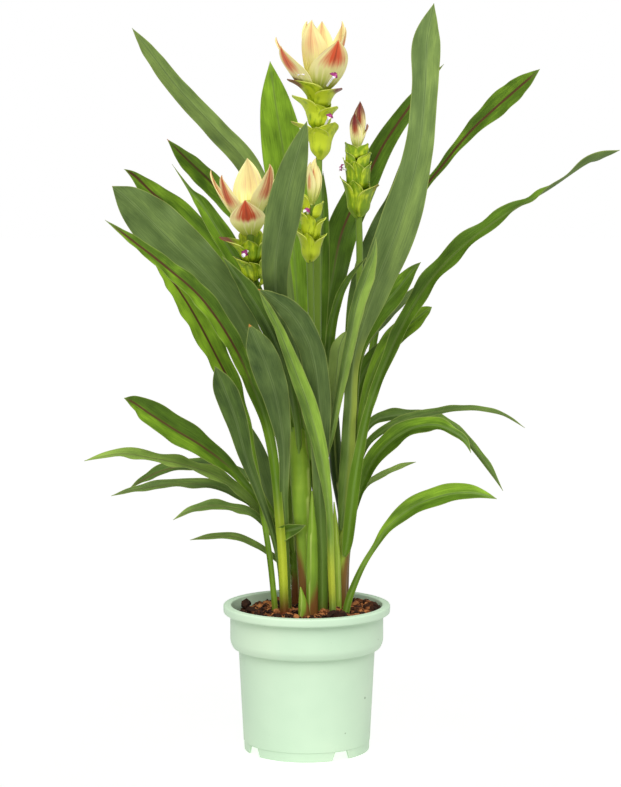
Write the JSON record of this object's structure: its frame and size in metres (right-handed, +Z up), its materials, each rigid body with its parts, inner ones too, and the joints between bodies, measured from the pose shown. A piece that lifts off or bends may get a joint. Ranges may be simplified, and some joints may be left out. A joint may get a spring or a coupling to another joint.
{
  "type": "potted siam tulip",
  "caption": "Siam tulip plant with lance-shaped leaves and pine-cone flower heads in a mint-green nursery pot, standing on a flat foot ring",
  "frame": {"origin": "centre of the pot's foot ring, on the surface it stands on", "axes": "+Z up, -Y to the front of the plant as pictured, +X to its right"},
  "size_m": [0.3654, 0.2122, 0.5265],
  "materials": {
    "pot_plastic": "satin injection-moulded, mint green",
    "peat": "rough, dark brown with fibres",
    "stem_olive": "satin, olive with a brown foot",
    "leaf_green": "satin, grey-green below, dark green above with a brown stripe",
    "leaf_bright": "satin, yellow-green",
    "bract_lime": "satin, lime with brown tips",
    "coma_cream": "matt, cream-yellow with orange-red tips"
  },
  "bodies": {
    "root": {"pot": "pot_plastic", "soil": "peat", "stem_main": "stem_olive", "stem_middle": "stem_olive", "stem_right": "stem_olive", "stem_back_left": "stem_olive", "stem_back_middle": "stem_olive", "stem_back_right": "stem_olive", "sheath_front": "stem_olive", "sheath_right": "stem_olive", "sprout": "stem_olive", "flower_top_bracts": "bract_lime", "flower_top_coma": "coma_cream", "flower_left_bracts": "bract_lime", "flower_left_coma": "coma_cream", "flower_middle_bracts": "bract_lime", "flower_middle_coma": "coma_cream", "flower_right_bracts": "bract_lime", "flower_right_coma": "coma_cream", "leaf_l01": "leaf_green", "leaf_l02": "leaf_green", "leaf_l03": "leaf_green", "leaf_l04": "leaf_green", "leaf_l05": "leaf_green", "leaf_l06": "leaf_green", "leaf_l07": "leaf_bright", "leaf_l08": "leaf_green", "leaf_l09": "leaf_green", "leaf_l10": "leaf_green", "leaf_l11": "leaf_green", "leaf_l12": "leaf_green", "leaf_l13": "leaf_green", "leaf_l14": "leaf_green", "leaf_l15": "leaf_green", "leaf_l16": "leaf_green", "leaf_c01": "leaf_green", "leaf_c02": "leaf_bright", "leaf_c03": "leaf_green", "leaf_c04": "leaf_green", "leaf_c05": "leaf_bright", "leaf_c07": "leaf_green", "leaf_c08": "leaf_green", "leaf_c10": "leaf_green", "leaf_c11": "leaf_green", "leaf_r01": "leaf_green", "leaf_r02": "leaf_green", "leaf_r03": "leaf_green", "leaf_r04": "leaf_green", "leaf_r05": "leaf_green", "leaf_r06": "leaf_green", "leaf_r07": "leaf_green", "leaf_r08": "leaf_green", "leaf_r09": "leaf_green", "leaf_r10": "leaf_bright", "leaf_r11": "leaf_bright", "leaf_r12": "leaf_green", "leaf_r13": "leaf_green", "leaf_r14": "leaf_green", "leaf_r15": "leaf_green", "leaf_r16": "leaf_green"}
  },
  "joints": []
}
